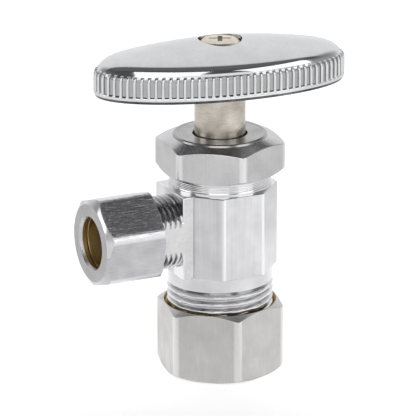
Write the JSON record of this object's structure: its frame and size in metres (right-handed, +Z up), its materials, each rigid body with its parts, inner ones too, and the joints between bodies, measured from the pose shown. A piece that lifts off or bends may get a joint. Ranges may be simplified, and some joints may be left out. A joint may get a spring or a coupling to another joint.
{
  "type": "angle stop valve",
  "caption": "Chrome-plated angle stop valve with compression inlet and outlet nuts, a packing nut and an oval handle.",
  "frame": {"origin": "on the valve axis, in the plane of the inlet nut's bottom face", "axes": "+Z up along the stem, -X out of the outlet"},
  "size_m": [0.0523, 0.0256, 0.0665],
  "materials": {
    "chrome": "bright chrome plate",
    "satin_chrome": "satin chrome plate over turned brass",
    "nickel": "satin nickel plate, finely turned",
    "brass": "machined",
    "stainless_steel": "machined",
    "packing": "matte graphite",
    "rubber": "matte"
  },
  "bodies": {
    "housing": {"valve_body": "chrome", "seat_ring": "stainless_steel", "packing_support_washer": "brass", "packing_ring_lower": "packing", "packing_ring_upper": "packing"},
    "seat_disc": {"seat_disc_holder": "brass", "disc_retaining_ring": "stainless_steel", "seat_washer": "rubber", "seat_washer_backing": "brass", "seat_washer_screw": "brass"},
    "stem_and_handle": {"stem": "nickel", "handle": "chrome", "handle_screw": "nickel", "handle_lock_washer": "stainless_steel"},
    "gland": {"packing_washer": "brass"},
    "packing_nut": {"packing_nut": "satin_chrome"},
    "inlet_sleeve": {"inlet_ferrule": "brass"},
    "inlet_nut": {"inlet_nut": "satin_chrome"},
    "outlet_sleeve": {"outlet_ferrule": "brass"},
    "outlet_nut": {"outlet_nut": "satin_chrome"}
  },
  "joints": [
    {"name": "stem_rise", "type": "slide", "parent": "housing", "child": "seat_disc", "axis": [0, 0, 1], "range_m": [-0.00445, 0]},
    {"name": "handle_turn", "type": "hinge", "parent": "seat_disc", "child": "stem_and_handle", "pos_m": [0, 0, 0.05], "axis": [0, 0, 1], "range_deg": [-1260, 0]},
    {"name": "packing_nut_rise", "type": "slide", "parent": "housing", "child": "gland", "axis": [0, 0, 1], "range_m": [0, 0.00318]},
    {"name": "packing_nut_turn", "type": "hinge", "parent": "gland", "child": "packing_nut", "pos_m": [0, 0, 0.044], "axis": [0, 0, 1], "range_deg": [0, 900]},
    {"name": "inlet_nut_drop", "type": "slide", "parent": "housing", "child": "inlet_sleeve", "axis": [0, 0, -1], "range_m": [0, 0.00847]},
    {"name": "inlet_nut_turn", "type": "hinge", "parent": "inlet_sleeve", "child": "inlet_nut", "pos_m": [0, 0, 0.007], "axis": [0, 0, -1], "range_deg": [0, 2160]},
    {"name": "outlet_nut_back_off", "type": "slide", "parent": "housing", "child": "outlet_sleeve", "axis": [-1, 0, 0], "range_m": [0, 0.00529]},
    {"name": "outlet_nut_turn", "type": "hinge", "parent": "outlet_sleeve", "child": "outlet_nut", "pos_m": [-0.0215, 0, 0.0292], "axis": [-1, 0, 0], "range_deg": [0, 1800]}
  ],
  "couplings": [
    {"joint": "stem_rise", "follows": "handle_turn", "m_per_rad": 0.00020213},
    {"joint": "packing_nut_rise", "follows": "packing_nut_turn", "m_per_rad": 0.00020213},
    {"joint": "inlet_nut_drop", "follows": "inlet_nut_turn", "m_per_rad": 0.00022459},
    {"joint": "outlet_nut_back_off", "follows": "outlet_nut_turn", "m_per_rad": 0.00016844}
  ]
}
